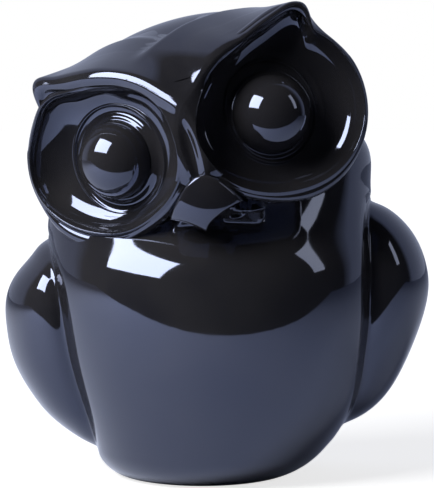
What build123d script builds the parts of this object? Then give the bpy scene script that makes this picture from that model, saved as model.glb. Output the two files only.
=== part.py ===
from math import cos, radians, sin
import os

from build123d import *

os.makedirs("parts", exist_ok=True)

# Lengths are in millimetres and angles in degrees. The owl faces -Y and stands on z = 0.

# Trunk rings, from the foot up: height, half width, half depth, sideways and fore-and-aft shift
trunk_rings = [
    (0.0, 33.5, 31.5, -4.8, 4.5),
    (6.6, 37.0, 34.5, -2.8, 4.0),
    (20.6, 44.8, 40.0, 0.2, 3.0),
    (38.6, 51.0, 44.5, 0.0, 2.5),
    (58.6, 54.3, 47.0, -0.8, 2.5),
    (76.6, 55.2, 45.0, -1.4, 6.0),
    (94.6, 53.2, 40.5, -1.9, 9.5),
    (110.6, 50.5, 35.0, -1.5, 10.5),
    (122.6, 40.0, 28.0, -4.0, 9.5),
]
foot_round = 9.0  # the trunk turns under to the foot with this radius
wall = 5.0  # fired wall with its glaze
chamber_floor, chamber_top = 9.5, 104.0

# Foot recess and stopper hole
foot_x, foot_y = -4.8, 4.5
recess_radius, recess_depth = 19.0, 3.5
hole_radius = 15.0

# Head: half sizes of the cranium across, front to back and up, and how it sits on the trunk
cranium_size, cranium_place = (53.5, 43.0, 36.3), (-2.0, 3.0, -3.0)
head_centre = (-5.2, 2.5, 118.6)
head_roll, head_pitch, head_yaw = 16.8, 3.0, 6.7
chamber_size, chamber_place = (47.0, 32.0, 30.0), (-2.0, 8.0, -3.0)
neck_drop = -38.5  # head and trunk are luted on this plane, square to the head's upright

# Face discs, measured in the head's own frame: across, forward and up, then turned out by the splay
eye_place = (29.1, 36.5, -6.0)
eye_splay = 26.5
disc_drop = 2.2  # the disc is rounder than its bowl and hangs a little lower
disc_edge, disc_back, disc_root = 28.6, 21.0, 24.0
frill_groove, frill_inside = 24.6, 23.2
bowl_half, bowl_stretch, bowl_depth, bowl_proud = 22.6, 1.24, 13.0, 0.8
lid_outer, lid_valley, lid_inner, lid_lip = 18.7, 16.5, 14.9, 13.2
pocket_depth = 12.4
eyeball_radius, eyeball_edge, eyeball_rise = 12.4, -5.2, 9.6

# Brow rolls: places on the centre line across, forward and up, with the roll's radius there
brow_stations = [
    (1.5, 42.6, -21.0, 3.0),
    (1.6, 46.0, -9.0, 3.3),
    (2.2, 46.8, -2.0, 3.2),
    (7.5, 44.4, 6.0, 3.0),
    (14.0, 41.4, 11.7, 2.9),
    (21.0, 38.0, 15.4, 2.9),
    (29.0, 33.8, 18.0, 3.1),
    (36.0, 29.8, 19.4, 3.7),
    (42.3, 26.2, 20.4, 4.3),
]
brow_foot = -19.0  # the brows stop on this plane, where the beak begins

# Beak, in the head's own frame: a swelling cut to a kite-shaped outline
beak_middle, beak_swell = (0.5, -41.0, -27.5), (15.5, 11.5, 14.0)
beak_top, beak_right, beak_left = (1.0, -19.0), (12.0, -29.0), (-12.5, -28.4)
beak_tip, beak_right_hollow, beak_left_hollow = (-0.5, -37.0), (6.0, -31.4), (-7.0, -31.0)

# Wing rings, from the bottom up: height, half width, half depth, sideways and fore-and-aft shift
left_wing_rings = [
    (5.6, 4.0, 5.0, -32.0, 11.5),
    (9.6, 7.0, 9.5, -36.5, 12.5),
    (14.4, 11.0, 14.0, -40.0, 13.5),
    (19.6, 14.0, 18.5, -43.1, 14.5),
    (25.0, 15.8, 22.0, -45.7, 15.5),
    (36.6, 18.0, 26.5, -50.0, 16.5),
    (48.6, 18.5, 28.5, -52.0, 16.5),
    (58.6, 17.8, 28.0, -52.5, 15.5),
    (66.6, 14.5, 25.0, -52.0, 14.5),
    (72.6, 11.0, 20.0, -50.5, 13.5),
    (77.6, 8.0, 14.0, -49.0, 12.5),
    (82.6, 5.0, 8.0, -42.0, 11.5),
]
right_wing_rings = [
    (12.6, 6.0, 9.0, 30.0, 12.5),
    (18.6, 12.0, 16.0, 36.5, 14.0),
    (25.0, 14.3, 20.5, 42.0, 15.5),
    (32.9, 15.5, 23.5, 46.0, 16.5),
    (43.6, 17.0, 26.5, 49.2, 16.5),
    (53.6, 18.0, 28.0, 51.5, 16.5),
    (62.6, 18.3, 28.5, 52.5, 16.5),
    (71.6, 16.7, 27.0, 52.5, 16.0),
    (78.6, 14.0, 23.0, 52.0, 15.5),
    (84.6, 10.8, 17.0, 50.2, 14.5),
    (89.1, 7.5, 11.0, 47.0, 13.5),
    (93.6, 4.5, 7.0, 39.0, 12.5),
]

# Coin slot in the back of the head
slot_length, slot_height = 38.0, 5.0
slot_x, slot_z = -4.0, 124.0
slot_start = 24.0

# Stopper: a flange in the foot recess, a ribbed plug in the hole, and a cup open downwards
flange_radius, flange_height, flange_bottom = 17.4, 2.0, 1.2
plug_radius, plug_top = 14.2, 14.0
rib_radius, rib_height, rib_first, rib_pitch, rib_count = 14.95, 1.2, 4.8, 2.8, 3
cup_radius, cup_top = 11.6, 10.8

# Pull tab: a round plate lying in the cup's mouth, hinged at its back on a bead held by two lugs
tab_radius, tab_thickness, tab_flat = 9.8, 1.6, 3.8
tab_neck_width = 8.2
bead_radius, bead_length, bead_back, bead_height = 1.1, 13.0, 7.8, 3.2
bead_play = 0.05
lug_inner, lug_outer, lug_depth, lug_bottom, lug_top = 4.5, 10.0, 4.6, 0.9, 5.4


def ellipsoid(half_sizes):
    with BuildPart() as form:
        Sphere(1)
        scale(by=half_sizes)
    return form.part


def ring_loft(rings, inset=0.0):
    with BuildPart() as form:
        for height, half_width, half_depth, shift_x, shift_y in rings:
            with BuildSketch(Plane.XY.offset(height)):
                with Locations((shift_x, shift_y)):
                    Ellipse(half_width - inset, half_depth - inset)
        loft()
    return form.part


# The head's own frame: X across, -Y forward, Z up
head_turn = Rotation(0, -head_roll, 0) * Rotation(0, 0, -head_yaw) * Rotation(-head_pitch, 0, 0)
head_frame = Location(head_centre) * head_turn


def disc_frame(side):
    # X runs across the disc, Y up it and Z out of it
    across, forward, up = eye_place
    turn = radians(side * eye_splay)
    out = (sin(turn), -cos(turn), 0)
    face = Plane((side * across, -forward, up), x_dir=(cos(turn), sin(turn), 0), z_dir=out)
    return head_frame * face.location


# Trunk, and the coin chamber inside it
with BuildPart() as trunk_form:
    add(ring_loft(trunk_rings))
    fillet(trunk_form.edges().sort_by(Axis.Z)[0], foot_round)

chamber_rings = [
    (max(chamber_floor, min(height, chamber_top)), *sizes)
    for height, *sizes in trunk_rings[1:-1]
]

# Disc: a flared cushion with a raised frill round its edge, hollowed by a bowl
with BuildPart() as cushion:
    with BuildSketch(Plane.XZ):
        with BuildLine():
            Polyline((0, 0), (0, -disc_root), (disc_back, -disc_root), (disc_edge, -5.0))
            ThreePointArc((disc_edge, -5.0), (disc_edge - 1.2, -1.5), (frill_groove, -1.8))
            Polyline((frill_groove, -1.8), (frill_inside, 0), (0, 0))
        make_face()
    revolve(axis=Axis.Z)
    with Locations((0, disc_drop, bowl_proud)):
        add(ellipsoid((bowl_half * bowl_stretch, bowl_half, bowl_depth)), mode=Mode.SUBTRACT)

# Eyelid: two ridges round the socket that holds the eyeball
with BuildPart() as eyelid:
    with BuildSketch(Plane.XZ):
        with BuildLine():
            Polyline((0, -9.4), (0, -pocket_depth - 3), (lid_outer, -pocket_depth - 3))
            Line((lid_outer, -pocket_depth - 3), (lid_outer, -9.2))
            ThreePointArc((lid_outer, -9.2), (17.8, -7.4), (lid_valley, -8.5))
            ThreePointArc((lid_valley, -8.5), (lid_inner, -7.2), (lid_lip, -9.4))
            Line((lid_lip, -9.4), (0, -9.4))
        make_face()
    revolve(axis=Axis.Z)

with BuildPart() as face_disc:
    add(Pos(0, -disc_drop, 0) * cushion.part)
    add(eyelid.part)
    with Locations((0, 0, -pocket_depth)):
        Cylinder(eyeball_radius, 20, align=(Align.CENTER, Align.CENTER, Align.MIN), mode=Mode.SUBTRACT)

# Clearing for a disc: just inside its flank, so that no trunk or cranium stands in the bowl
with BuildPart() as face_seat:
    with BuildSketch(Plane.XZ):
        with BuildLine():
            Polyline((0, 20), (0, 6 - disc_root), (disc_back + 1.6, 6 - disc_root))
            Polyline((disc_back + 1.6, 6 - disc_root), (disc_edge - 0.25, -5), (disc_edge - 0.25, 20))
            Line((disc_edge - 0.25, 20), (0, 20))
        make_face()
    revolve(axis=Axis.Z)

# Eyeball: a shank for the socket under a ball-shaped front
ball_radius = (eyeball_radius**2 + eyeball_rise**2) / (2 * eyeball_rise)
with BuildPart() as eyeball:
    with Locations((0, 0, -pocket_depth)):
        Cylinder(eyeball_radius, 20, align=(Align.CENTER, Align.CENTER, Align.MIN))
    with Locations((0, 0, eyeball_edge + eyeball_rise - ball_radius)):
        Sphere(ball_radius, mode=Mode.INTERSECT)

# Outside of head and trunk together
with BuildPart() as clay_form:
    add(trunk_form.part)
    add(head_frame * Pos(cranium_place) * ellipsoid(cranium_size))
    for side in (-1, 1):
        add(disc_frame(side) * Pos(0, -disc_drop, 0) * face_seat.part, mode=Mode.SUBTRACT)
    for side in (-1, 1):
        add(disc_frame(side) * face_disc.part)

# The same clay with its chambers, stopper hole and coin slot
with BuildPart() as hollow_form:
    add(clay_form.part)
    add(ring_loft(chamber_rings, inset=wall), mode=Mode.SUBTRACT)
    add(head_frame * Pos(chamber_place) * ellipsoid(chamber_size), mode=Mode.SUBTRACT)
    with Locations((foot_x, foot_y, 0)):
        Cylinder(recess_radius, 2 * recess_depth, mode=Mode.SUBTRACT)
        Cylinder(hole_radius, 2 * (chamber_floor + 5), mode=Mode.SUBTRACT)
    with BuildSketch(Plane(origin=(slot_x, slot_start, slot_z), x_dir=(-1, 0, 0), z_dir=(0, 1, 0))):
        SlotOverall(slot_length, slot_height)
    extrude(amount=60, mode=Mode.SUBTRACT)

neck_plane = Plane(head_frame * Pos(0, 0, neck_drop))
with BuildPart() as trunk_shell:
    add(hollow_form.part)
    split(bisect_by=neck_plane, keep=Keep.BOTTOM)
trunk_shell.part.label = "trunk_shell"
export_step(trunk_shell.part, "parts/trunk_shell.step")

with BuildPart() as head_shell:
    add(hollow_form.part)
    split(bisect_by=neck_plane, keep=Keep.TOP)
head_shell.part.label = "head_shell"
export_step(head_shell.part, "parts/head_shell.step")

# Eyeballs
left_eyeball = disc_frame(-1) * eyeball.part
left_eyeball.label = "left_eyeball"
export_step(left_eyeball, "parts/left_eyeball.step")

right_eyeball = disc_frame(1) * eyeball.part
right_eyeball.label = "right_eyeball"
export_step(right_eyeball, "parts/right_eyeball.step")

# Wings
with BuildPart() as left_wing:
    add(ring_loft(left_wing_rings))
    add(clay_form.part, mode=Mode.SUBTRACT)
left_wing.part.label = "left_wing"
export_step(left_wing.part, "parts/left_wing.step")

with BuildPart() as right_wing:
    add(ring_loft(right_wing_rings))
    add(clay_form.part, mode=Mode.SUBTRACT)
right_wing.part.label = "right_wing"
export_step(right_wing.part, "parts/right_wing.step")


def brow_roll(side):
    with BuildPart() as roll:
        with BuildLine() as spine:
            Spline([(side * across, -forward, up) for across, forward, up, radius in brow_stations])
        for across, forward, up, radius in brow_stations:
            place = Vector(side * across, -forward, up)
            along = spine.edge().tangent_at(spine.edge().param_at_point(place))
            with BuildSketch(Plane(place, z_dir=along)):
                Circle(radius)
        sweep(path=spine.line, multisection=True)
        across, forward, up, radius = brow_stations[-1]
        with Locations((side * across, -forward, up)):
            Sphere(radius)
        split(bisect_by=Plane.YZ, keep=Keep.TOP if side > 0 else Keep.BOTTOM)
        split(bisect_by=Plane.XY.offset(brow_foot), keep=Keep.TOP)
    return head_frame * roll.part


# Brows with their ear tufts, meeting in a mitre over the beak
with BuildPart() as left_brow_tuft:
    add(brow_roll(-1))
    add(clay_form.part, mode=Mode.SUBTRACT)
left_brow_tuft.part.label = "left_brow_tuft"
export_step(left_brow_tuft.part, "parts/left_brow_tuft.step")

with BuildPart() as right_brow_tuft:
    add(brow_roll(1))
    add(clay_form.part, mode=Mode.SUBTRACT)
right_brow_tuft.part.label = "right_brow_tuft"
export_step(right_brow_tuft.part, "parts/right_brow_tuft.step")

# Beak
with BuildPart() as beak_form:
    with BuildSketch(Plane.XZ):
        with BuildLine():
            Line(beak_top, beak_right)
            Spline(beak_right, beak_right_hollow, beak_tip)
            Spline(beak_tip, beak_left_hollow, beak_left)
            Line(beak_left, beak_top)
        make_face()
    extrude(amount=80)
    with Locations(beak_middle):
        add(ellipsoid(beak_swell), mode=Mode.INTERSECT)

with BuildPart() as beak:
    add(head_frame * beak_form.part)
    add(clay_form.part, mode=Mode.SUBTRACT)
beak.part.label = "beak"
export_step(beak.part, "parts/beak.step")

# Stopper, about the middle of the hole
up_from = (Align.CENTER, Align.CENTER, Align.MIN)
side_from = (Align.MIN, Align.CENTER, Align.MIN)
with BuildPart() as stopper:
    with Locations((0, 0, flange_bottom)):
        Cylinder(flange_radius, flange_height, align=up_from)
        Cylinder(plug_radius, plug_top - flange_bottom, align=up_from)
    for rib in range(rib_count):
        with Locations((0, 0, rib_first + rib * rib_pitch)):
            Cylinder(rib_radius, rib_height, align=up_from)
    fillet(stopper.edges().filter_by(GeomType.CIRCLE).sort_by(Axis.Z)[-1], 1.2)
    Cylinder(cup_radius, cup_top, align=up_from, mode=Mode.SUBTRACT)
    lug_size = (lug_outer - lug_inner, lug_depth, lug_top - lug_bottom)
    with Locations((lug_inner, bead_back, lug_bottom)):
        Box(*lug_size, align=side_from)
    with Locations((-lug_outer, bead_back, lug_bottom)):
        Box(*lug_size, align=side_from)
    with Locations(Location((0, bead_back, bead_height), (0, 90, 0))):
        Cylinder(bead_radius + bead_play, bead_length + 0.6, mode=Mode.SUBTRACT)
stopper_part = Pos(foot_x, foot_y, 0) * stopper.part
stopper_part.label = "stopper"
export_step(stopper_part, "parts/stopper.step")

with BuildPart() as pull_tab:
    with BuildSketch(Plane.XY.offset(bead_height - tab_thickness / 2)):
        Circle(tab_radius)
        with Locations((0, bead_back - tab_flat)):
            Rectangle(40, 40, align=(Align.CENTER, Align.MIN), mode=Mode.SUBTRACT)
        with Locations((0, bead_back)):
            Rectangle(tab_neck_width, 2 * tab_flat, align=(Align.CENTER, Align.MAX))
    extrude(amount=tab_thickness)
    with Locations(Location((0, bead_back, bead_height), (0, 90, 0))):
        Cylinder(bead_radius, bead_length)
tab_part = Pos(foot_x, foot_y, 0) * pull_tab.part
tab_part.label = "pull_tab"
export_step(tab_part, "parts/pull_tab.step")
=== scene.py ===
import math

import bpy
import numpy as np
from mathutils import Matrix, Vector


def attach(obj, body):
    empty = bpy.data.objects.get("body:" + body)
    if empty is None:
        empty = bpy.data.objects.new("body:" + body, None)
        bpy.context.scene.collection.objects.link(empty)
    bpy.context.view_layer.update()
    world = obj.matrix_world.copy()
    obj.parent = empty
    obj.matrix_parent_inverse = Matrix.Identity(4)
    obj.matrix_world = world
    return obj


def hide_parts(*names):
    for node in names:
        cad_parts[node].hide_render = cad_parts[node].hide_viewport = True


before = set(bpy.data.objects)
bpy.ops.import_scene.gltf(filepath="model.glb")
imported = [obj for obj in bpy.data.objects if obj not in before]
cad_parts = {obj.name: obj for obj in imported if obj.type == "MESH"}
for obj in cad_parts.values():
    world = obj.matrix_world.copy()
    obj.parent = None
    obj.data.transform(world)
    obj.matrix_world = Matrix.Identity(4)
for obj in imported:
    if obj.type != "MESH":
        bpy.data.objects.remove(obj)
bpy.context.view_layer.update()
millimetre = 0.001  # the shapes below are worked out in millimetres and written in metres


def smoothThrough(knots, values, at):
    # natural cubic curve through the knots: its second derivatives solve one banded system
    x, y = np.asarray(knots, float), np.asarray(values, float)
    y = y.reshape(len(x), -1)
    step = np.diff(x)
    slope = np.diff(y, axis=0) / step[:, None]
    bands = np.eye(len(x))
    inner = np.arange(1, len(x) - 1)
    bands[inner, inner - 1] = step[:-1]
    bands[inner, inner] = 2 * (step[:-1] + step[1:])
    bands[inner, inner + 1] = step[1:]
    load = np.zeros_like(y)
    load[1:-1] = 6 * np.diff(slope, axis=0)
    bend = np.linalg.solve(bands, load)
    at = np.asarray(at, float)
    left = np.clip(np.searchsorted(x, at.ravel()) - 1, 0, len(x) - 2)
    width = step[left][:, None]
    before = (at.ravel() - x[left])[:, None]
    after = width - before
    curve = (bend[left] * after**3 + bend[left + 1] * before**3) / (6 * width)
    curve += (y[left] / width - bend[left] * width / 6) * after
    curve += (y[left + 1] / width - bend[left + 1] * width / 6) * before
    return curve.reshape(at.shape + (y.shape[1],)) if y.shape[1] > 1 else curve.reshape(at.shape)


def roundThrough(degrees, values, angle):
    # the same curve closed on itself: the knots repeat one turn before and after
    knots = np.concatenate([np.asarray(degrees) + turn for turn in (-360, 0, 360)])
    return smoothThrough(knots, np.tile(values, 3), (np.degrees(angle) + 180) % 360 - 180)


def smoothMin(a, b, width):
    # the smaller of two gaps, rounded by a cubic where they differ by less than width
    near = np.maximum(width - np.abs(a - b), 0) / width
    return np.minimum(a, b) - near**3 * width / 6


def smoothMax(a, b, width):
    # the larger of two gaps, rounded in the same way
    return -smoothMin(-a, -b, width)


def castOut(centre, directions, gap, far, marches=0, halvings=24):
    # where each ray leaves the form: stepped to the first crossing if asked, then halved down to it
    near = np.zeros(directions.shape[:-1])
    away = near + far
    passed = np.zeros(near.shape, bool)
    for reach in np.linspace(0, far, marches + 1)[1:]:
        outside = gap(centre + directions * reach) > 0
        away = np.where(outside & ~passed, reach, away)
        passed |= outside
        near = np.where(passed, near, reach)
    for _ in range(halvings):
        middle = (near + away) / 2
        inside = gap(centre + directions * middle[..., None]) < 0
        near, away = np.where(inside, middle, near), np.where(inside, away, middle)
    return centre + directions * near[..., None]


def turned(axis, degrees):
    # the turn about one axis as a matrix
    c, s = math.cos(math.radians(degrees)), math.sin(math.radians(degrees))
    rows = dict(
        x=[[1, 0, 0], [0, c, -s], [0, s, c]],
        y=[[c, 0, s], [0, 1, 0], [-s, 0, c]],
        z=[[c, -s, 0], [s, c, 0], [0, 0, 1]],
    )
    return np.array(rows[axis])


def gridPiece(name, grid, body, slot, *nodes):
    # a closed skin: rows of one loop each, the first and last row shrunk to a single pole
    rows, columns = grid.shape[:2]
    inner = grid[1:-1].reshape(-1, 3)
    points = np.vstack([grid[:1].mean(axis=1), inner, grid[-1:].mean(axis=1)])
    ring = 1 + np.arange((rows - 2) * columns).reshape(rows - 2, columns)
    nextRing = np.roll(ring, -1, axis=1)
    quads = np.stack([ring[:-1], nextRing[:-1], nextRing[1:], ring[1:]], -1).reshape(-1, 4)
    lastPole = len(points) - 1
    firstFan = np.stack([np.zeros(columns, int), nextRing[0], ring[0]], -1)
    lastFan = np.stack([np.full(columns, lastPole), ring[-1], nextRing[-1]], -1)
    # over all triangles a . (b x c) adds up to six times the volume inside; below 0 it is inside out
    triangles = np.vstack([quads[:, :3], quads[:, [0, 2, 3]], firstFan, lastFan])
    a, b, c = np.moveaxis(points[triangles], 1, 0)
    if (a * np.cross(b, c)).sum() < 0:
        quads, firstFan, lastFan = quads[:, ::-1], firstFan[:, ::-1], lastFan[:, ::-1]
    mesh = bpy.data.meshes.new(name + "_skin")
    faces = quads.tolist() + firstFan.tolist() + lastFan.tolist()
    mesh.from_pydata((points * millimetre).tolist(), [], faces)
    mesh.polygons.foreach_set("use_smooth", np.ones(len(mesh.polygons), bool))
    piece = bpy.data.objects.new(name + "_skin", mesh)
    bpy.context.scene.collection.objects.link(piece)
    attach(piece, body)
    if nodes:
        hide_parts(*nodes)
    mesh.materials.append(finishes[slot])
    print("made", name, len(mesh.polygons), "faces")
    return piece


def newFinish(name):
    finish = bpy.data.materials.new(name)
    finish.use_nodes = True
    nodes = finish.node_tree.nodes
    nodes.clear()
    shader = nodes.new("ShaderNodeBsdfPrincipled")
    output = nodes.new("ShaderNodeOutputMaterial")
    finish.node_tree.links.new(shader.outputs["BSDF"], output.inputs["Surface"])
    return finish, shader


def objectNoise(tree, size, detail, roughness=0.5):
    # noise on Object coordinates: size is its grain in millimetres
    place = tree.nodes.new("ShaderNodeTexCoord")
    noise = tree.nodes.new("ShaderNodeTexNoise")
    noise.inputs["Scale"].default_value = 1 / (size * millimetre)
    noise.inputs["Detail"].default_value = detail
    noise.inputs["Roughness"].default_value = roughness
    tree.links.new(place.outputs["Object"], noise.inputs["Vector"])
    return noise.outputs["Fac"]


def spread(tree, value, low, high, fromLow=0.3, fromHigh=0.7):
    # a value's range, or the middle range of a noise, stretched to low ... high
    ramp = tree.nodes.new("ShaderNodeMapRange")
    ramp.inputs["From Min"].default_value = fromLow
    ramp.inputs["From Max"].default_value = fromHigh
    ramp.inputs["To Min"].default_value = low
    ramp.inputs["To Max"].default_value = high
    tree.links.new(value, ramp.inputs["Value"])
    return ramp.outputs["Result"]


def blend(tree, factor, first, second):
    # the first colour at 0, the second at 1
    mix = tree.nodes.new("ShaderNodeMix")
    mix.data_type = "RGBA"
    mix.inputs["A"].default_value = (*first, 1)
    mix.inputs["B"].default_value = (*second, 1)
    tree.links.new(factor, mix.inputs["Factor"])
    return mix.outputs["Result"]


def bump(tree, height, depth, after=None):
    # depth is the height of the relief in millimetres
    relief = tree.nodes.new("ShaderNodeBump")
    relief.inputs["Strength"].default_value = 1
    relief.inputs["Distance"].default_value = depth * millimetre
    tree.links.new(height, relief.inputs["Height"])
    if after:
        tree.links.new(after, relief.inputs["Normal"])
    return relief.outputs["Normal"]


# each noise: its grain in millimetres, its detail and, where given, its roughness
glaze = dict(
    thin=(0.016, 0.0155, 0.017),
    thick=(0.0095, 0.0095, 0.012),
    cloud=(22.0, 3),  # where the glaze is thin and thick
    haze=(22.0 / 3, 4, 0.6),  # where it is smooth and dull
    smooth=0.035,
    dull=0.075,
    ior=1.7,
    sheen=(0.62, 0.70, 1.0),  # the cool tint of what it mirrors
    ripple=(7.0, 1),
    rippleDepth=0.02,
    peel=(1.6, 2),
    peelDepth=0.0022,
)


def makeGlaze():
    finish, shader = newFinish("blackGlaze")
    tree = finish.node_tree
    cloud = objectNoise(tree, *glaze["cloud"])
    colour = blend(tree, spread(tree, cloud, 0, 1), glaze["thin"], glaze["thick"])
    tree.links.new(colour, shader.inputs["Base Color"])
    haze = objectNoise(tree, *glaze["haze"])
    tree.links.new(spread(tree, haze, glaze["smooth"], glaze["dull"]), shader.inputs["Roughness"])
    ripple = bump(tree, objectNoise(tree, *glaze["ripple"]), glaze["rippleDepth"])
    peel = bump(tree, objectNoise(tree, *glaze["peel"]), glaze["peelDepth"], ripple)
    tree.links.new(peel, shader.inputs["Normal"])
    shader.inputs["IOR"].default_value = glaze["ior"]
    shader.inputs["Specular Tint"].default_value = (*glaze["sheen"], 1)
    return finish


rubber = dict(
    dark=(0.022, 0.022, 0.023),
    worn=(0.05, 0.05, 0.052),
    cloud=(5.0, 4, 0.6),
    smooth=0.55,
    dull=0.75,
    grain=(0.35, 2),
    grainDepth=0.02,
)


def makeRubber():
    finish, shader = newFinish("stopperRubber")
    tree = finish.node_tree
    cloud = objectNoise(tree, *rubber["cloud"])
    colour = blend(tree, spread(tree, cloud, 0, 1), rubber["dark"], rubber["worn"])
    tree.links.new(colour, shader.inputs["Base Color"])
    tree.links.new(spread(tree, cloud, rubber["smooth"], rubber["dull"]), shader.inputs["Roughness"])
    grain = bump(tree, objectNoise(tree, *rubber["grain"]), rubber["grainDepth"])
    tree.links.new(grain, shader.inputs["Normal"])
    return finish


finishes = {"black_glaze": makeGlaze(), "stopper_rubber": makeRubber()}
print("the glaze and the rubber are mixed")

camera = dict(target=(0.0, 0.0045, 0.0766), distance=0.85, rise=5.0, lens=190.0, clip=(0.05, 20))


def makeCamera():
    eye = bpy.data.objects.new("camera", bpy.data.cameras.new("camera"))
    bpy.context.scene.collection.objects.link(eye)
    rise = math.radians(camera["rise"])
    back = Vector((0, -math.cos(rise), math.sin(rise)))
    eye.location = Vector(camera["target"]) + back * camera["distance"]
    eye.rotation_euler = (-back).to_track_quat("-Z", "Y").to_euler()
    eye.data.lens = camera["lens"]
    eye.data.clip_start, eye.data.clip_end = camera["clip"]
    bpy.context.scene.camera = eye


# each lamp: where it stands, what it looks at, its width and height, and its brightness
lamps = dict(
    mainBox=dict(at=(-0.40, -0.28, 0.45), to=(0, 0, 0.10), size=(0.42, 0.34), power=8.0),
    sideBox=dict(at=(0.46, -0.13, 0.38), to=(0, 0, 0.10), size=(0.09, 0.30), power=0.22),
)
table = dict(
    front=-0.18,
    back=2.6,
    side=2.2,
    colour=(0.76, 0.81, 0.96),
    rough=0.7,
    seen=(0.76, 1.0),  # how white it looks near the bank and far off
    seenAt=(0.14, 0.6),  # and how far away those are
    shade=0.4,  # how strongly it shows a shadow
)
# dark in front of the bank and pale behind it, turning between these two heights towards the back
sky = dict(dark=(0.012, 0.012, 0.014), pale=(0.36, 0.40, 0.54), turn=(0.12, 0.30))


def makeLamps():
    for name, lamp in lamps.items():
        light = bpy.data.lights.new(name, "AREA")
        light.shape = "RECTANGLE"
        light.size, light.size_y = lamp["size"]
        light.energy = lamp["power"]
        stand = bpy.data.objects.new(name, light)
        stand.location = lamp["at"]
        toward = Vector(lamp["to"]) - Vector(lamp["at"])
        stand.rotation_euler = toward.to_track_quat("-Z", "Y").to_euler()
        bpy.context.scene.collection.objects.link(stand)


def makeTable():
    x, y = table["side"], table["back"]
    corners = [(-x, table["front"], 0), (x, table["front"], 0), (x, y, 0), (-x, y, 0)]
    mesh = bpy.data.meshes.new("floor")
    mesh.from_pydata(corners, [], [(0, 1, 2, 3)])
    floor = bpy.data.objects.new("floor", mesh)
    bpy.context.scene.collection.objects.link(floor)
    # the camera sees a white sweep, a glow with a thin veil of diffuse white that takes the shadow,
    # and the glaze mirrors the pale table
    finish, shader = newFinish("paleTable")
    shader.inputs["Base Color"].default_value = (*table["colour"], 1)
    shader.inputs["Roughness"].default_value = table["rough"]
    tree = finish.node_tree
    glow = tree.nodes.new("ShaderNodeEmission")
    veil = tree.nodes.new("ShaderNodeBsdfDiffuse")
    both = tree.nodes.new("ShaderNodeAddShader")
    choice = tree.nodes.new("ShaderNodeMixShader")
    place = tree.nodes.new("ShaderNodeTexCoord")
    away = tree.nodes.new("ShaderNodeVectorMath")
    away.operation = "LENGTH"
    tree.links.new(place.outputs["Object"], away.inputs[0])
    whiter = spread(tree, away.outputs["Value"], *table["seen"], *table["seenAt"])
    tree.links.new(whiter, glow.inputs["Strength"])
    veil.inputs["Color"].default_value = (table["shade"],) * 3 + (1,)
    path = tree.nodes.new("ShaderNodeLightPath")
    tree.links.new(glow.outputs["Emission"], both.inputs[0])
    tree.links.new(veil.outputs["BSDF"], both.inputs[1])
    tree.links.new(path.outputs["Is Camera Ray"], choice.inputs["Fac"])
    tree.links.new(shader.outputs["BSDF"], choice.inputs[1])
    tree.links.new(both.outputs["Shader"], choice.inputs[2])
    tree.links.new(choice.outputs["Shader"], tree.nodes["Material Output"].inputs["Surface"])
    mesh.materials.append(finish)


def makeSky():
    world = bpy.data.worlds.new("studio")
    bpy.context.scene.world = world
    world.use_nodes = True
    tree = world.node_tree
    tree.nodes.clear()
    link = tree.links.new
    place = tree.nodes.new("ShaderNodeTexCoord")
    split = tree.nodes.new("ShaderNodeSeparateXYZ")
    link(place.outputs["Generated"], split.inputs["Vector"])
    toBack = spread(tree, split.outputs["Y"], 0, 1, *sky["turn"])
    shade = blend(tree, toBack, sky["dark"], sky["pale"])
    path = tree.nodes.new("ShaderNodeLightPath")
    seen = tree.nodes.new("ShaderNodeMix")
    seen.data_type = "RGBA"
    seen.inputs["B"].default_value = (1, 1, 1, 1)
    link(shade, seen.inputs["A"])
    link(path.outputs["Is Camera Ray"], seen.inputs["Factor"])
    background = tree.nodes.new("ShaderNodeBackground")
    output = tree.nodes.new("ShaderNodeOutputWorld")
    link(seen.outputs["Result"], background.inputs["Color"])
    link(background.outputs["Background"], output.inputs["Surface"])


makeCamera()
makeLamps()
makeTable()
makeSky()
bpy.context.scene.view_settings.view_transform = "Standard"
print("camera, light and floor are ready")

# how far the trunk reaches at each height, to the front, back, left and right
trunk = dict(
    heights=(0.0, 6.6, 20.6, 38.6, 52.0, 59.0, 66.0, 70.0, 74.0, 79.0, 85.0, 94.6, 110.6, 122.6),
    front=(-27.0, -30.4, -36.6, -42.1, -44.6, -45.2, -45.0, -44.2, -42.5, -39.0, -34.2, -29.0, -24.5, -18.5),
    back=(36.0, 38.5, 43.0, 47.0, 49.0, 49.6, 50.1, 50.4, 50.8, 51.0, 50.8, 50.0, 45.5, 37.5),
    left=(-38.3, -39.8, -44.6, -51.0, -54.0, -55.2, -56.0, -56.3, -56.5, -56.4, -56.0, -55.1, -52.0, -44.0),
    right=(28.7, 34.2, 45.0, 51.0, 53.2, 53.6, 53.8, 53.9, 53.9, 53.6, 52.8, 51.3, 49.0, 36.0),
    backShare=0.55,  # the front and back halves meet this far along the depth
    topRound=6.0,
    topRow=3.0,  # the skin's first level is this far under the top, inside the head
    footRound=9.0,
    footMiddle=(-4.8, 4.5),
    recess=(19.0, 3.5),  # radius and height
    hole=(15.0, 15.0),
    lip=0.7,  # glaze rounding at the rims of the recess and hole
    corner=0.3,  # and in the corner of the recess
)

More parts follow.
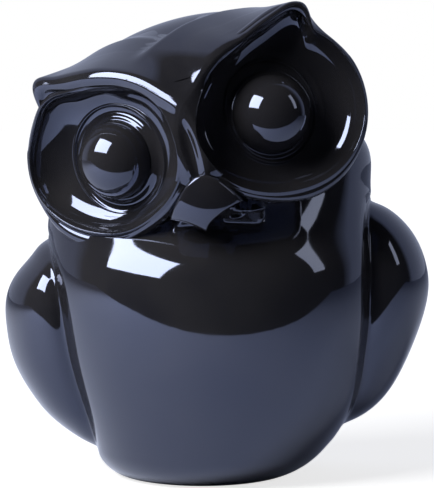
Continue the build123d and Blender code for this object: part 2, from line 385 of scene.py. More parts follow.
# rings from the bottom up: height, half width, half depth, middle across and middle fore and aft
wings = dict(
    left=(
        (5.6, 4.0, 5.0, -32.0, 11.5), (9.6, 7.0, 9.5, -36.5, 12.5), (14.4, 11.0, 14.0, -40.0, 13.5),
        (19.6, 14.0, 18.5, -43.1, 14.5), (25.0, 15.8, 22.0, -45.7, 15.5), (36.6, 18.0, 26.5, -50.0, 16.5),
        (48.6, 18.5, 28.5, -52.0, 16.5), (58.6, 17.8, 28.0, -52.5, 15.5), (66.6, 14.5, 25.0, -52.0, 14.5),
        (72.6, 11.0, 20.0, -50.5, 13.5), (77.6, 8.0, 14.0, -49.0, 12.5), (82.6, 5.0, 8.0, -42.0, 11.5),
    ),
    right=(
        (12.6, 6.0, 9.0, 30.0, 12.5), (18.6, 12.0, 16.0, 36.5, 14.0), (25.0, 14.3, 20.5, 42.0, 15.5),
        (32.9, 15.5, 23.5, 46.0, 16.5), (43.6, 17.0, 26.5, 49.2, 16.5), (53.6, 18.0, 28.0, 51.5, 16.5),
        (62.6, 18.3, 28.5, 52.5, 16.5), (71.6, 16.7, 27.0, 52.5, 16.0), (78.6, 14.0, 23.0, 52.0, 15.5),
        (84.6, 10.8, 17.0, 50.2, 14.5), (89.1, 7.5, 11.0, 47.0, 13.5), (93.6, 4.5, 7.0, 39.0, 12.5),
    ),
    endRound=4.0,
    endRow=0.2,  # the skin's last levels are this far past the ends
    fillet=2.6,
    crease=(0.9, 2.6, 5.0),  # depth, reach on the wing and reach on the trunk
    thread=(0.3, 1.6, 1.0),  # a thin roll in the crease: height, place and half width
    sink=0.02,  # how far the wing's skin dips under the trunk where the two run together
    tuck=9.0,  # and how far out from the wing's own form it may follow the trunk
    under=(1.2, 5.0),  # the trunk's own skin dips this far under the wing's, this near to the crease
)


def ovalGap(x, y, halfWidth, halfDepth):
    # how far outside an ellipse, to first order
    reach = np.sqrt((x / halfWidth) ** 2 + (y / halfDepth) ** 2)
    pull = np.sqrt((x / halfWidth**2) ** 2 + (y / halfDepth**2) ** 2)
    return reach * (reach - 1) / np.maximum(pull, 1e-6)


def trunkRing(height):
    # the trunk's middle and its half sizes at each height, less the round of the foot
    values = [trunk[key] for key in ("front", "back", "left", "right")]
    ring = smoothThrough(trunk["heights"], np.transpose(values), height)
    under = np.maximum(trunk["footRound"] - np.asarray(height), 0)
    inset = trunk["footRound"] - np.sqrt(np.maximum(trunk["footRound"] ** 2 - under**2, 0))
    midX = (ring[..., 2] + ring[..., 3]) / 2
    midY = (1 - trunk["backShare"]) * ring[..., 0] + trunk["backShare"] * ring[..., 1]
    halfWidth = ring[..., 3] - midX - inset
    frontDepth = midY - ring[..., 0] - inset
    backDepth = ring[..., 1] - midY - inset
    return midX, midY, halfWidth, frontDepth, backDepth


def trunkGap(point):
    # the front and back of the trunk are half ellipses of their own depth
    low, high = trunk["heights"][0], trunk["heights"][-1]
    midX, midY, halfWidth, frontDepth, backDepth = trunkRing(np.clip(point[..., 2], low, high))
    x, y = point[..., 0] - midX, point[..., 1] - midY
    side = ovalGap(x, y, halfWidth, np.where(y < 0, frontDepth, backDepth))
    return smoothMax(side, point[..., 2] - high, trunk["topRound"])


def wingRing(height, side):
    # half width, half depth and middle of a wing at each height
    rings = np.array(wings["left" if side < 0 else "right"])
    return smoothThrough(rings[:, 0], rings[:, 1:], np.clip(height, rings[0, 0], rings[-1, 0]))


def wingGap(point, side):
    # an oval at each height, closed by a rounded end at the top and the bottom
    rings = wings["left" if side < 0 else "right"]
    ring = wingRing(point[..., 2], side)
    oval = ovalGap(point[..., 0] - ring[..., 2], point[..., 1] - ring[..., 3], ring[..., 0], ring[..., 1])
    ends = np.maximum(rings[0][0] - point[..., 2], point[..., 2] - rings[-1][0])
    return smoothMax(oval, ends, wings["endRound"])


def crease(trunkOut, wingOut):
    # the groove where wing and trunk meet, with a thin roll standing in it
    apart = wingOut - trunkOut
    depth, onWing, onTrunk = wings["crease"]
    height, place, half = wings["thread"]
    groove = depth * np.exp(-((apart / np.where(apart < 0, onWing, onTrunk)) ** 2))
    return groove - height * np.exp(-(((apart - place) / half) ** 2))


def creasedTrunkGap(point):
    # the trunk with both creases, dipping under the wings' skins beside them
    out = trunkGap(point)
    depth, near = wings["under"]
    for side in (-1, 1):
        apart = wingGap(point, side) - out
        out = out + crease(0, apart) + depth * np.exp(-((apart / near) ** 4))
    return out


def wingedGap(point, side):
    # wing and trunk run together, with the crease pressed in, kept to a shell about the wing
    trunkOut, wingOut = trunkGap(point) + wings["sink"], wingGap(point, side)
    joined = smoothMin(trunkOut, wingOut, wings["fillet"]) + crease(trunkOut, wingOut)
    return np.maximum(joined, wingOut - wings["tuck"])


# the head's own frame has its origin at the centre and is tipped, nodded and turned by these degrees
head = dict(
    centre=(-5.2, 2.5, 118.6),
    roll=16.8,
    pitch=3.0,
    yaw=6.7,
    crown=(53.5, 43.0, 36.3),  # half sizes of the cranium
    crownMiddle=(-2.0, 3.0, -3.0),
    neckFillet=3.5,
    cheekFillet=5.0,
    sink=0.02,  # how far the skin dips under the trunk where the two run together
    tuck=5.5,  # and how far out from the head's own form it may follow the trunk
)
headTurn = turned("y", -head["roll"]) @ turned("z", -head["yaw"]) @ turned("x", -head["pitch"])


def fromHead(point):
    # from the head's own frame to the bank's
    return np.asarray(point) @ headTurn.T + head["centre"]


def toHead(point):
    # and back
    return (np.asarray(point) - head["centre"]) @ headTurn


def crownGap(point):
    # how far a point of the head's own frame is outside the cranium ellipsoid
    offset = point - head["crownMiddle"]
    half = np.array(head["crown"])
    reach = np.linalg.norm(offset / half, axis=-1)
    pull = np.linalg.norm(offset / half**2, axis=-1)
    return reach * (reach - 1) / np.maximum(pull, 1e-6)


# heights on a disc are counted along the eye's axis, outwards
face = dict(
    eyePlace=(29.1, -36.5, -6.0),  # in the head's own frame, for the disc on the positive side
    splay=26.5,  # how far each disc turns outwards, in degrees
    drop=2.2,  # the rim is rounder than its bowl and hangs this much lower
    rim=28.6,
    back=21.0,  # radius of the cheek's root inside the head
    root=-24.0,  # and its height
    coneTop=-5.0,  # the cheek narrows evenly from this height to the root
    coneInset=0.6,
    coneEnd=(-9.0, 2.0),  # where the cheek ends behind the rim, and its roundness there
    seat=(0.3, -17.0),  # room for the disc: this much wider than its crest, and down to this height
    bowlDepth=10.6,
    proud=0.8,
)

# the crest of each bowl, its radius at angles from the outer side (0) over the top (90) to the nose (180)
disc = dict(
    crestAngle=(-150, -120, -90, -60, -30, 0, 25, 42, 50, 57,
                64, 71, 80, 90, 101, 112, 124, 137, 151, 165, 180),
    leftCrest=(26.2, 22.4, 21.4, 22.0, 25.2, 28.2, 27.8, 27.6, 27.8, 27.5,
               26.6, 25.3, 24.1, 23.6, 23.7, 24.1, 25.3, 27.0, 28.3, 29.0, 29.2),
    rightCrest=(27.2, 24.8, 24.0, 25.4, 27.0, 27.9, 27.8, 27.6, 28.2, 31.4,
                32.4, 30.8, 28.0, 25.9, 24.4, 23.7, 24.1, 24.8, 25.7, 27.5, 28.9),
    # and the rim of the frill outside it
    rimAngle=(-156, -142, -125, -104, -84, -65, -51, -33, -15,
              0, 25, 42, 60, 85, 110, 135, 160, 180),
    leftRim=(31.0, 28.6, 26.4, 25.2, 26.4, 28.9, 30.8, 31.7, 30.9,
             31.0, 31.0, 30.5, 30.0, 27.5, 27.5, 30.0, 31.6, 32.0),
    rightRim=(30.2, 29.5, 28.3, 27.9, 28.7, 29.2, 29.4, 29.8, 30.2,
              30.4, 30.3, 30.2, 34.5, 30.0, 27.0, 28.5, 30.5, 31.5),
    bowlRim=1.1,  # the bowl's own edge lies this far outside the crest
    bowlForm=5,  # and the higher this is, the flatter its middle
    leftCrease=(17.4, 17.4, 0.1, 0.2),  # the lid's crease: half width, half height and middle
    rightCrease=(14.9, 16.4, 0.5, 1.0),
    creaseForm=(-8.4, 0.25),  # its height and roundness
    softForm=(-8.95, 1.6),
    softAway=(-3.2, 2.9),  # this faint second ridge is inside the left crease and outside the right one
    ridgeSlope=1.3,
    lidEdge=(1.3, 1.0),  # the lid rises this much towards the eyeball, over this width
    lidStart=12.7,
    lidEnd=19.4,
    lidFloor=-9.3,
    lidJoins=(0.5, 0.6, 0.8),  # roundness where floor, ridges and bowl meet
    socketFloor=-12.0,
    crestTop=1.5,
    crestFall=1.1,  # its outer side falls this steeply
    crestRound=1.6,
    crestRows=(3.0, 2.0),  # the skin is finest this far inside and outside the crest
    grooveWidth=1.5,
    grooveRound=1.0,
    frillTop=-0.9,
    frillDrop=2.6,
    frillFull=3.0,  # a frill of less than this half width is a flatter arch
    frillLeast=0.4,
    frillFloor=9.0,
    frillEdge=0.15,
    rimLeast=(2.0, 1.0),  # the rim stays this far outside the crest, with this roundness
    rimTurn=(0.9, 0.3, 2.2),  # the rim rolls back by this much across, less this, and this much in depth
    hiddenFrill=7.0,  # the frill sinks this far under a brow
    hiddenFrom=(20, 25, 1.0),  # from this angle on, over so many degrees, by this share
    hiddenNose=(-148, 14, 0.35),  # and the same at the nose, towards smaller angles
)


def crestRadius(angle, side):
    # a closed curve through the crest's own table
    return roundThrough(disc["crestAngle"], disc["leftCrest" if side < 0 else "rightCrest"], angle)


def faceTurn(side):
    # rows are the disc's own across, up and out directions in the head's frame
    turn = math.radians(side * face["splay"])
    return np.array([[math.cos(turn), math.sin(turn), 0], [0, 0, 1], [math.sin(turn), -math.cos(turn), 0]])


def fromDisc(point, side):
    # from a disc's across, up and out to the bank's frame
    place = np.array(face["eyePlace"]) * (side, 1, 1)
    return fromHead(np.asarray(point) @ faceTurn(side) + place)


def toDisc(point, side):
    # and back
    place = np.array(face["eyePlace"]) * (side, 1, 1)
    return (toHead(point) - place) @ faceTurn(side).T


def cheekGap(point, side):
    # a cone under the disc: its radius shrinks towards its root, and it ends a little behind the rim
    local = toDisc(point, side)
    radius = np.hypot(local[..., 0], local[..., 1] + face["drop"])
    slope = (face["rim"] - face["back"]) / (face["coneTop"] - face["root"])
    cone = face["rim"] - face["coneInset"] + slope * (local[..., 2] - face["coneTop"])
    flank = (radius - cone) / math.hypot(1, slope)
    end, endRound = face["coneEnd"]
    return smoothMax(flank, local[..., 2] - end, endRound)


def seatGap(point, side):
    # the room that the disc takes: all that is inside its crest, open to the front
    local = toDisc(point, side)
    crest = crestRadius(np.arctan2(local[..., 1], side * local[..., 0]), side)
    wider, floor = face["seat"]
    return np.maximum(np.hypot(local[..., 0], local[..., 1]) - crest - wider, floor - local[..., 2])


def headGap(point, skull):
    # skull, cheeks and trunk run together, less the room of the two face discs
    shape = smoothMin(skull, cheekGap(point, -1), head["cheekFillet"])
    shape = smoothMin(shape, cheekGap(point, 1), head["cheekFillet"])
    joined = smoothMin(trunkGap(point) + head["sink"], shape, head["neckFillet"])
    joined = np.maximum(joined, shape - head["tuck"])
    return np.maximum(np.maximum(joined, -seatGap(point, -1)), -seatGap(point, 1))


def globe(rows, columns, turn):
    # unit directions over a sphere: polar angle down the rows, turn round the columns
    polar = np.linspace(0, np.pi, rows)[:, None]
    around = np.linspace(0, 2 * np.pi, columns, endpoint=False)
    x, y = np.sin(polar) * np.cos(around), np.sin(polar) * np.sin(around)
    return np.stack([x, y, np.cos(polar) + 0 * around], -1) @ turn.T


# on planes through the eye's axis, by their angle as above: radius, height and roundness of the rolled
# ridge, then those of its root in the cranium, and how deep the front dips
brow = dict(
    left=(
        (34, 25.4, -7.0, 1.3, 29.0, -20.0, 3.0, 0.3),
        (42, 27.2, -4.6, 1.6, 31.0, -22.0, 3.0, 0.4),
        (49, 29.0, -3.4, 1.9, 32.5, -24.0, 3.0, 0.6),
        (54, 31.8, -2.9, 2.5, 34.0, -26.0, 3.2, 0.9),
        (58, 33.4, -2.8, 3.0, 34.5, -27.0, 3.4, 1.0),
        (62, 33.4, -2.7, 3.1, 34.5, -27.5, 3.4, 1.0),
        (68, 31.2, -2.5, 2.9, 34.0, -28.0, 3.4, 0.9),
        (76, 28.9, -2.4, 3.0, 33.5, -28.0, 3.2, 0.7),
        (88, 27.5, -2.3, 3.0, 33.0, -27.0, 3.0, 0.5),
        (100, 27.1, -2.2, 3.1, 33.0, -25.5, 3.0, 0.3),
        (114, 27.5, -2.2, 3.1, 33.5, -23.0, 3.0, 0.2),
        (128, 28.7, -2.3, 3.2, 35.0, -21.0, 3.0, 0.2),
        (142, 30.2, -2.4, 3.2, 37.0, -19.5, 3.0, 0.2),
        (154, 32.0, -2.7, 3.2, 39.0, -18.5, 3.0, 0.4),
        (164, 34.3, -3.2, 3.1, 42.0, -18.0, 3.0, 0.6),
        (176, 35.5, -3.0, 2.1, 44.0, -18.0, 3.0, 0.8),
        (192, 36.0, -4.0, 2.1, 44.0, -19.0, 3.0, 0.8),
        (208, 36.0, -6.5, 2.1, 44.0, -21.0, 3.0, 0.8),
        (222, 36.0, -12.0, 2.1, 44.0, -24.0, 3.0, 0.8),
    ),
    right=(
        (30, 24.6, -7.0, 1.2, 28.0, -20.0, 3.0, 0.2),
        (38, 26.0, -4.2, 1.2, 30.0, -22.0, 3.0, 0.2),
        (45, 27.4, -2.6, 1.3, 32.0, -24.0, 3.0, 0.2),
        (50, 28.9, -2.0, 1.5, 33.0, -25.0, 3.0, 0.2),
        (54, 31.4, -1.6, 1.6, 34.0, -26.0, 3.0, 0.2),
        (58, 33.7, -1.4, 1.7, 34.3, -27.0, 3.0, 0.2),
        (62, 34.2, -1.2, 1.6, 34.3, -27.5, 3.0, 0.2),
        (67, 33.4, -1.0, 1.5, 34.0, -28.0, 3.0, 0.2),
        (73, 31.3, -0.9, 1.4, 33.5, -28.0, 3.0, 0.1),
        (80, 29.0, -0.8, 1.4, 33.0, -27.0, 3.0, 0.1),
        (90, 26.7, -0.8, 1.4, 33.0, -26.0, 3.0, 0.0),
        (101, 25.3, -0.8, 1.4, 33.5, -24.0, 3.0, 0.0),
        (112, 25.4, -1.8, 2.3, 35.0, -22.0, 3.0, 0.0),
        (124, 26.1, -2.1, 2.6, 37.0, -19.5, 3.0, 0.0),
        (136, 26.9, -2.3, 2.8, 39.5, -18.0, 3.0, 0.0),
        (148, 28.0, -2.4, 2.8, 41.0, -17.0, 3.0, 0.0),
        (160, 30.1, -2.6, 2.8, 43.0, -16.0, 3.0, 0.1),
        (172, 33.0, -3.3, 2.7, 44.0, -17.0, 3.0, 0.5),
        (188, 34.0, -3.5, 1.9, 44.0, -18.0, 3.0, 0.8),
        (205, 34.5, -6.0, 1.9, 44.0, -21.0, 3.0, 0.8),
        (222, 34.5, -12.0, 1.9, 44.0, -24.0, 3.0, 0.8),
    ),
    seam=-100,  # angles are counted up from here, so that a brow may reach past 180
    lipOut=0.4,
    lipHeight=-1.0,
    frontLow=0.3,  # the front ends this far under the top of the ridge
    frontLeast=0.5,
    frontBlend=1.4,
    endSlope=0.6,  # how fast the brow falls away past its ends, for each degree
    sweep=7.0,  # how widely the back of a brow runs into the cranium
    meet=5.0,  # and the two brows into each other over the beak, in millimetres
    lift=0.03,  # the skin lies this far above the head's own
    lastAngle=162,  # here the bridge takes over
    rayFade=(38, -3),  # a row's skin dips under the head's where this falls under 1, at its last end
    rayStart=0.45,  # rays start this far along the limb from the ridge
    rayKeep=(120, 15, 31.5),  # from this angle on, over so many degrees, no further out than this
    rayFirst=-3.0,  # the first ray points at the crest, at this height
    rayLast=(6.0, -60.0),  # the last one points this far outside the root, at this height
    rayClimb=(140, 1.6),  # which rises past this angle, so much for each degree
    rayCrowd=(1.5, 1.7),  # how much closer the rays stand at the ridge, before it and behind it
)


def browRow(angle, side):
    # the columns of the table at any angle
    table = np.array(brow["left" if side < 0 else "right"])
    inside = np.clip(angle, table[0, 0], table[-1, 0])
    return np.moveaxis(smoothThrough(table[:, 0], table[:, 1:], inside), -1, 0)


def browGap(point, side):
    # a tapered limb from the ridge to the root, and a front that closes it towards the bowl's crest
    local = toDisc(point, side)
    turn = np.arctan2(local[..., 1], side * local[..., 0])
    angle = (np.degrees(turn) - brow["seam"]) % 360 + brow["seam"]
    radius, height = np.hypot(local[..., 0], local[..., 1]), local[..., 2]
    ridgeAt, ridgeUp, ridgeRound, rootAt, rootUp, rootRound, dip = browRow(angle, side)
    along, down = rootAt - ridgeAt, rootUp - ridgeUp
    share = ((radius - ridgeAt) * along + (height - ridgeUp) * down) / (along**2 + down**2)
    share = np.clip(share, 0, 1)
    limb = np.hypot(radius - ridgeAt - share * along, height - ridgeUp - share * down)
    limb = limb - ridgeRound - share * (rootRound - ridgeRound)
    lip = crestRadius(turn, side) + brow["lipOut"]
    rise = np.clip((radius - lip) / np.maximum(ridgeAt - lip, brow["frontLeast"]), 0, 1)
    high = ridgeUp + ridgeRound - brow["frontLow"]
    top = brow["lipHeight"] + rise * (high - brow["lipHeight"]) - dip * 4 * rise * (1 - rise)
    front = np.maximum(np.maximum(height - top, radius - ridgeAt), rootUp - height)
    rows = brow["left" if side < 0 else "right"]
    beyond = np.maximum(rows[0][0] - angle, angle - rows[-1][0])
    return smoothMin(limb, front, brow["frontBlend"]) + brow["endSlope"] * np.maximum(beyond, 0)


def browedGap(point):
    # the head with both brows run into each other and into the cranium
    fins = smoothMin(browGap(point, -1), browGap(point, 1), brow["meet"])
    return headGap(point, smoothMin(crownGap(toHead(point)), fins, brow["sweep"]))


def arc(middle, radius, start, end, count):
    # points on a circle, from one angle to another in degrees
    angle = np.radians(np.linspace(start, end, count))
    return np.stack([middle[0] + radius * np.cos(angle), middle[1] + radius * np.sin(angle)], -1)


def seatedTrunkGap(point):
    # the trunk without the room of the two face discs
    return np.maximum(np.maximum(creasedTrunkGap(point), -seatGap(point, -1)), -seatGap(point, 1))


def makeTrunk():
    # outside: rays from the middle of each level, from the top ring down and round the foot;
    # underneath: circles about the hole, up the recess and the hole to a closed roof
    angle = np.linspace(0, 2 * np.pi, 400, endpoint=False)
    falls = np.linspace(trunk["heights"][-1] - trunk["topRow"], trunk["footRound"], 190)
    rounds = trunk["footRound"] * (1 - np.sin(np.radians(np.linspace(0, 90, 26)[1:])))
    height = np.concatenate([falls, rounds])
    midX, midY = trunkRing(height)[:2]
    ray = np.stack([np.cos(angle), np.sin(angle), 0 * angle], -1)[None] + np.zeros((len(height), 1, 1))
    middle = np.stack([midX, midY, height], -1)[:, None]
    outside = castOut(middle, ray, seatedTrunkGap, far=80, marches=32)
    shrink = np.linspace(0, 1, 12)[1:, None, None]
    top = outside[:1] * shrink + outside[:1].mean(axis=1, keepdims=True) * (1 - shrink)
    lip, corner = trunk["lip"], trunk["corner"]
    (recess, recessTop), (hole, holeTop) = trunk["recess"], trunk["hole"]
    profile = np.concatenate([
        arc((recess + lip, lip), lip, -90, -180, 7),
        [(recess, recessTop - corner), (recess - corner, recessTop)],
        arc((hole + lip, recessTop + lip), lip, -90, -180, 7),
        [(hole, holeTop / 2), (hole, holeTop), (hole - 0.01, holeTop), (0, holeTop)],
    ])
    radius, rise = profile[:, :1], profile[:, 1:]
    under = np.stack([
        trunk["footMiddle"][0] + radius * np.cos(angle),
        trunk["footMiddle"][1] + radius * np.sin(angle),
        rise + 0 * angle,
    ], -1)
    gridPiece("trunk", np.concatenate([top, outside[1:], under]), "ceramic", "black_glaze", "trunk_shell")


makeTrunk()


def makeWing(side, name):
    # rays from the middle of the wing's ring at each level
    rings = wings["left" if side < 0 else "right"]
    height = np.linspace(rings[0][0] - wings["endRow"], rings[-1][0] + wings["endRow"], 300)
    angle = np.linspace(0, 2 * np.pi, 280, endpoint=False)
    ring = wingRing(height, side)
    middle = np.stack([ring[:, 2], ring[:, 3], height], -1)[:, None]
    ray = np.stack([np.cos(angle), np.sin(angle), 0 * angle], -1)[None] + np.zeros((len(height), 1, 1))
    grid = castOut(middle, ray, lambda point: wingedGap(point, side), far=40, marches=60)
    gridPiece(name, grid, "ceramic", "black_glaze", name)


makeWing(-1, "left_wing")
makeWing(1, "right_wing")

coinSlot = dict(
    x=-4.0,
    z=124.0,
    length=38.0,
    height=5.0,
    bottom=26.0,  # how far behind the middle of the bank the slot's pocket ends
    corner=1.0,
    lip=0.9,  # roundness of its edge
    collar=5.0,  # its own skin reaches this far out over the head
    lift=0.03,  # and lies this far above the head's
    cutOut=2.5,  # under the collar the head's skin is cut away this far out
    cutIn=2.0,  # and this far past the bottom
    tuck=(4.0, 10.0),  # the collar's edge turns in by these steps
    back=3.0,  # and closes this far past the bottom
    rayStart=20.0,
)


def slotReach(x, z):
    # distance outside the slot's outline, a bar with round ends
    half = (coinSlot["length"] - coinSlot["height"]) / 2
    along = np.maximum(np.abs(x - coinSlot["x"]) - half, 0)
    return np.hypot(along, z - coinSlot["z"]) - coinSlot["height"] / 2


def slottedGap(point):
    # the browed head without the room of the slot and its collar
    wide = slotReach(point[..., 0], point[..., 2]) - coinSlot["cutOut"]
    deep = coinSlot["bottom"] - coinSlot["cutIn"] - point[..., 1]
    return np.maximum(browedGap(point), -np.maximum(wide, deep))


def makeHead():
    # rays in all directions from the middle of the cranium
    centre = fromHead(np.array(head["crownMiddle"]))
    grid = castOut(centre, globe(300, 330, headTurn), slottedGap, far=90, marches=36)
    gridPiece("head", grid, "ceramic", "black_glaze", "head_shell")


def makeSlot():
    # rows are outlines about the slot: over the head's skin, round the lip, down the wall to the bottom;
    # an outline is two half rounds and two straight runs, each point moved out from the slot's middle line
    lip, bottom = coinSlot["lip"], coinSlot["bottom"]
    half = (coinSlot["length"] - coinSlot["height"]) / 2
    straight = np.linspace(-1, 1, 42)[1:-1] * half
    right = np.linspace(-np.pi / 2, np.pi / 2, 121)[1:]
    left = right + np.pi
    outX = np.concatenate([np.cos(right), 0 * straight, np.cos(left), 0 * straight])
    outZ = np.concatenate([np.sin(right), 1 + 0 * straight, np.sin(left), -1 + 0 * straight])
    baseX = np.concatenate([half + 0 * right, straight[::-1], -half + 0 * left, straight])
    collarRows = np.linspace(coinSlot["collar"], lip, 16)
    lipRows = lip * np.cos(np.radians(np.linspace(0, 90, 9)[1:]))
    away = np.concatenate([collarRows, lipRows, [0, 0]])[:, None]
    reach = coinSlot["height"] / 2 + away
    x, z = coinSlot["x"] + baseX + outX * reach, coinSlot["z"] + outZ * reach
    start = np.stack([x, np.full_like(x, coinSlot["rayStart"]), z], -1)
    back = np.array([0, 1.0, 0]) + 0 * start
    skin = castOut(start, back, lambda point: browedGap(point) - coinSlot["lift"], far=45, marches=20)
    y = skin[..., 1] - lip * (1 - np.sqrt(1 - (1 - np.minimum(away / lip, 1)) ** 2))
    y[-2] = bottom + coinSlot["corner"]
    y[-1] = bottom
    wall = np.stack([x, y, z], -1)
    floor = 0 * wall[-1:] + wall[-1:].mean(axis=1, keepdims=True)
    edge, deeper = (wall[:1] - (0, step, 0) for step in coinSlot["tuck"])
    pole = 0 * edge + edge.mean(axis=1, keepdims=True) * (1, 0, 1) + (0, bottom - coinSlot["back"], 0)
    grid = np.concatenate([pole, deeper, edge, wall, floor])
    gridPiece("coin_slot", grid, "ceramic", "black_glaze", "head_shell")


makeHead()
makeSlot()


def rimRadius(angle, side, crest):
    # the frill's rim, kept outside the crest
    rim = roundThrough(disc["rimAngle"], disc["leftRim" if side < 0 else "rightRim"], angle)
    least, roundness = disc["rimLeast"]
    return smoothMax(rim, crest + least, roundness)


def ovalRadius(angle, side, oval):
    # radius of an ellipse that is set a little off the eye's axis
    wide, high, across, up = oval
    reach = 1 / np.sqrt((np.cos(angle) / wide) ** 2 + (np.sin(angle) / high) ** 2)
    return reach + across * np.cos(angle) + up * np.sin(angle)


def ridge(radius, middle, top, roundness):
    # a hyperbola: two even slopes that meet in a rounded crease on the lid
    return top + roundness - np.sqrt(roundness**2 + (disc["ridgeSlope"] * (radius - middle)) ** 2)


def discHeight(radius, angle, side, crest, rim):
    # bowl: nearly flat about the lid and steeper towards an edge just outside the crest;
    # lid: a crisp crease, a faint one and a raised edge about the eyeball;
    # outside the crest: a slope into the groove, then the frill as a low arch, sunk under the brow
    reach = np.minimum(radius / (crest + disc["bowlRim"]), 0.999)
    bowl = face["proud"] - face["bowlDepth"] * np.sqrt(1 - reach ** disc["bowlForm"])
    floorRound, softRound, bowlRound = disc["lidJoins"]
    at = ovalRadius(angle, side, disc["leftCrease" if side < 0 else "rightCrease"])
    lid = smoothMax(ridge(radius, at, *disc["creaseForm"]), disc["lidFloor"] + 0 * radius, floorRound)
    lid = smoothMax(lid, ridge(radius, at + disc["softAway"][side > 0], *disc["softForm"]), softRound)
    height, width = disc["lidEdge"]
    lid = lid + height * np.exp(-(((radius - disc["lidStart"]) / width) ** 2))
    inner = smoothMax(bowl, lid, bowlRound)
    outer = disc["crestTop"] - disc["crestFall"] * (radius - crest)
    middle = (crest + disc["grooveWidth"] + rim) / 2
    half = np.maximum((rim - crest - disc["grooveWidth"]) / 2, disc["frillLeast"])
    degrees = (np.degrees(angle) + 180) % 360 - 180
    (start, over, share), (noseStart, noseOver, noseShare) = disc["hiddenFrom"], disc["hiddenNose"]
    hidden = share * np.clip((degrees - start) / over, 0, 1)
    hidden = hidden + noseShare * np.clip((noseStart - degrees) / noseOver, 0, 1)
    top = disc["frillTop"] - disc["hiddenFrill"] * np.minimum(hidden, 1)
    drop = disc["frillDrop"] * np.minimum(half / disc["frillFull"], 1)
    arch = np.maximum(top - drop * ((radius - middle) / half) ** 2, top - disc["frillFloor"])
    return smoothMin(inner, smoothMax(outer, arch, disc["grooveRound"]), disc["crestRound"])


def makeDisc(side, name):
    # rows are loops about the eye's axis: up the socket, out over the lid, the bowl, the crest and the
    # frill, round the rim and back along a cone to the root inside the head
    angle = np.linspace(-np.pi, np.pi, 400, endpoint=False)
    outward = np.stack([side * np.cos(angle), np.sin(angle), 0 * angle], -1)
    forward = np.array([0, 0, 1.0])
    crest = crestRadius(angle, side)
    rim = rimRadius(angle, side, crest)
    inside, outside = disc["crestRows"]
    lidShare, wallShare, crestShare = (np.linspace(0, 1, rows)[:, None] for rows in (90, 46, 46))
    lidRows = disc["lidStart"] + lidShare * (disc["lidEnd"] - disc["lidStart"]) + 0 * angle
    wallRows = disc["lidEnd"] + wallShare[1:] * (crest - inside - disc["lidEnd"])
    crestRows = crest - inside + crestShare[1:] * (inside + outside)
    frillShare = np.sin(np.linspace(0, np.pi / 2, 40))[1:-1, None]
    frillRows = crest + outside + frillShare * (rim - disc["frillEdge"] - crest - outside)
    radius = np.concatenate([lidRows, wallRows, crestRows, frillRows])
    height = discHeight(radius, angle, side, crest, rim)
    front = outward * radius[..., None] + forward * height[..., None]
    across, lessAcross, deep = disc["rimTurn"]
    turn = np.radians(np.linspace(20, 100, 14))[:, None, None]
    flank = front[-1:] + outward * (across * np.sin(turn) - lessAcross) + forward * deep * (np.cos(turn) - 1)
    root = outward * face["back"] + (0, -face["drop"], face["root"])
    share = np.linspace(0, 1, 10)[1:, None, None]
    cone = flank[-1:] * (1 - share) + root * share
    pole = 0 * cone[-1:] + (0, -face["drop"], face["root"])
    socket = outward[None] * disc["lidStart"] + forward * disc["socketFloor"]
    floor = 0 * socket + forward * disc["socketFloor"]
    grid = np.concatenate([floor, socket * (0.5, 0.5, 1), socket, front, flank, cone, pole])
    gridPiece(name, fromDisc(grid, side), "ceramic", "black_glaze", "head_shell")


makeDisc(-1, "left_face_disc")
makeDisc(1, "right_face_disc")

# a ball front that starts at the edge and rises over it, and a straight shank down to the root
eyeball = dict(radius=12.6, edge=-7.6, rise=12.0, root=-13.0)


def makeEyeball(side, name):
    # rows are circles: polar angles down a ball through the edge, then the shank and its closed end
    ball = (eyeball["radius"] ** 2 + eyeball["rise"] ** 2) / (2 * eyeball["rise"])
    widest = math.degrees(math.asin(eyeball["radius"] / ball))
    polar = np.radians(np.linspace(0, widest, 90))[:, None]
    angle = np.linspace(0, 2 * np.pi, 160, endpoint=False)
    radius = np.concatenate([ball * np.sin(polar), np.full((4, 1), eyeball["radius"]), [[0.0]]])
    middle = eyeball["edge"] + eyeball["rise"] - ball
    shank = np.linspace(eyeball["edge"], eyeball["root"], 5)[1:, None]
    rise = np.concatenate([middle + ball * np.cos(polar), shank, shank[-1:]])
    grid = np.stack([radius * np.cos(angle), radius * np.sin(angle), rise + 0 * angle], -1)
    gridPiece(name, fromDisc(grid, side), "ceramic", "black_glaze", name)


makeEyeball(-1, "left_eyeball")
makeEyeball(1, "right_eyeball")

# rays start on an upright line in the head, which leans back above bendAt, and swing to both sides
bridge = dict(
    middle=0.3,
    top=12.0,
    bottom=-21.0,
    forward=46.6,
    forwardTop=42.0,
    bendAt=4.0,
    swing=84.0,
    lift=0.04,
)


def overSkin(away):
    # 1 where a skin lies over its neighbour, falling towards its edge until it dips under that
    return np.clip(away / 2 - 0.5, -1, 1)


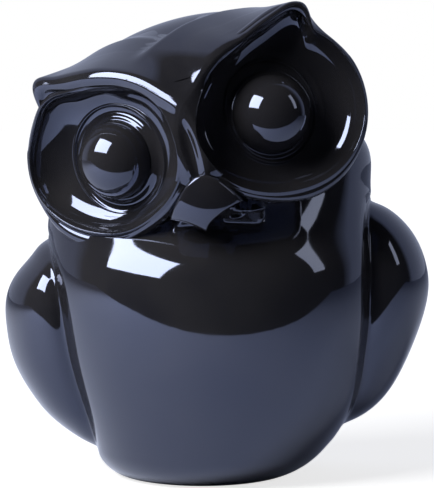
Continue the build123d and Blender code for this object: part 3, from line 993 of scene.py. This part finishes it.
def makeBrow(side, name):
    # each row is one plane through the eye's axis, cast out from a point on the limb: from the wall of
    # the seat over the ridge and down the sweep to the cranium, closed through its inside
    firstAngle = brow["left" if side < 0 else "right"][0][0]
    degrees = np.linspace(firstAngle, brow["lastAngle"], 300)
    turn = np.radians(degrees)
    ridgeAt, ridgeUp, _, rootAt, rootUp, _, _ = browRow(degrees, side)
    middleAt = ridgeAt + brow["rayStart"] * (rootAt - ridgeAt)
    middleUp = ridgeUp + brow["rayStart"] * (rootUp - ridgeUp)
    start, over, furthest = brow["rayKeep"]
    keep = np.clip((degrees - start) / over, 0, 1)
    middleAt = middleAt + keep * (np.minimum(middleAt, furthest) - middleAt)
    (lastOut, lastLow), (bend, climb) = brow["rayLast"], brow["rayClimb"]
    lastUp = lastLow + climb * np.maximum(degrees - bend, 0)
    first = np.arctan2(brow["rayFirst"] - middleUp, crestRadius(turn, side) - middleAt)
    top = np.arctan2(ridgeUp - middleUp, ridgeAt - middleAt)
    last = np.arctan2(lastUp - middleUp, rootAt + lastOut - middleAt)
    share = np.linspace(-1, 1, 170)
    before, behind = (np.abs(share) ** crowd for crowd in brow["rayCrowd"])
    inward = top[:, None] + (first - top)[:, None] * before
    outward = top[:, None] + (last - top)[:, None] * behind
    ray = np.where(share < 0, inward, outward)
    radial = np.stack([side * np.cos(turn), np.sin(turn), 0 * turn], -1)[:, None]
    forward = np.array([0, 0, 1.0])
    centre = radial * middleAt[:, None, None] + forward * middleUp[:, None, None]
    direction = radial * np.cos(ray)[..., None] + forward * np.sin(ray)[..., None]
    rowFade = np.minimum(1, np.linspace(*brow["rayFade"], len(share)))
    fade = rowFade * overSkin(brow["lastAngle"] - degrees)[:, None]

    def liftedGap(local):
        return browedGap(fromDisc(local, side)) - brow["lift"] * fade

    skin = castOut(centre, direction, liftedGap, far=40, marches=20)
    inside = centre + 0 * skin[:, :1]
    grid = np.concatenate([(inside + skin[:, :1]) / 2, skin, (inside + skin[:, -1:]) / 2, inside], axis=1)
    ends = grid.mean(axis=1, keepdims=True) + 0 * grid
    grid = np.concatenate([ends[:1], grid, ends[-1:]])
    gridPiece(name, fromDisc(grid, side), "ceramic", "black_glaze", name)


def makeBridge():
    # level rows of the head's own frame, cast forward from a line behind the bridge
    height = np.linspace(bridge["top"], bridge["bottom"], 220)
    back = np.clip((height - bridge["bendAt"]) / (bridge["top"] - bridge["bendAt"]), 0, 1)
    forward = bridge["forward"] + (bridge["forwardTop"] - bridge["forward"]) * back
    swing = np.radians(np.linspace(-bridge["swing"], bridge["swing"], 150))
    centre = np.stack([bridge["middle"] + 0 * height, -forward, height], -1)[:, None]
    ray = np.stack([np.sin(swing), -np.cos(swing), 0 * swing], -1)[None] + np.zeros((len(height), 1, 1))
    lift = bridge["lift"] * overSkin(bridge["top"] - height)[:, None]
    skin = castOut(centre, ray, lambda point: browedGap(fromHead(point)) - lift, far=18, marches=30)
    grid = np.concatenate([skin, centre + 0 * skin[:, :1]], axis=1)
    ends = grid.mean(axis=1, keepdims=True) + 0 * grid
    grid = np.concatenate([ends[:1], grid, ends[-1:]])
    gridPiece("nose_bridge", fromHead(grid), "ceramic", "black_glaze", "left_brow_tuft", "right_brow_tuft")


makeBrow(-1, "left_brow_tuft")
makeBrow(1, "right_brow_tuft")
makeBridge()

# its outline in the head's own frame, across and up, round from the positive corner
beak = dict(
    outline=((11.4, -29.4), (8.6, -24.0), (1.0, -18.0), (-8.4, -24.2), (-12.4, -28.7),
             (-9.4, -30.0), (-5.9, -32.2), (-2.3, -35.6), (-0.2, -33.4), (4.0, -31.3), (8.0, -30.1)),
    corners=(0, 4, 7),  # the outline is smooth from one of these points to the next
    middle=(0.0, -27.0),
    swellMiddle=(0.2, -39.6, -20.5),
    swell=(16.5, 12.6, 19.0),
    edge=1.1,  # roundness of its lower edge
    thick=7.0,
)


def makeBeak():
    # rows shrink the outline towards its middle; the front is an ellipsoid with a rounded edge
    outline = np.array(beak["outline"])
    loop = np.vstack([outline, outline[:1]])
    stretches = []
    for start, end in zip(beak["corners"], (*beak["corners"][1:], len(outline))):
        knots = np.arange(start, end + 1)
        at = np.linspace(start, end, 40 * (end - start) + 1)[:-1]
        stretches.append(smoothThrough(knots, loop[knots], at))
    edge = np.concatenate(stretches)
    middle = np.array(beak["middle"])
    share = np.sin(np.radians(np.linspace(2, 90, 60)))[:, None, None]
    flat = middle + (edge - middle) * share
    (midX, midY, midZ), (halfX, halfY, halfZ) = beak["swellMiddle"], beak["swell"]
    swell = 1 - ((flat[..., 0] - midX) / halfX) ** 2 - ((flat[..., 1] - midZ) / halfZ) ** 2
    y = midY - halfY * np.sqrt(np.maximum(swell, 0.02))
    inset = np.linalg.norm(edge - middle, axis=-1) * (1 - share[..., 0])
    cut = np.maximum(beak["edge"] - inset, 0)
    y = y + beak["edge"] - np.sqrt(beak["edge"] ** 2 - cut**2)
    front = np.stack([flat[..., 0], y, flat[..., 1]], -1)
    back = front[-1:] + np.array([0, 1.0, 0]) * np.linspace(0, beak["thick"], 6)[1:, None, None]
    last = back[-1:].mean(axis=1, keepdims=True) + 0 * back[-1:]
    first = front[:1].mean(axis=1, keepdims=True) + 0 * front[:1]
    grid = np.concatenate([first, front, back, last])
    gridPiece("beak", fromHead(grid), "ceramic", "black_glaze", "beak")


makeBeak()

for name in ("stopper", "pull_tab"):
    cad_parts[name].data.materials.clear()
    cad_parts[name].data.materials.append(finishes["stopper_rubber"])
print("the stopper and its pull tab have their rubber")
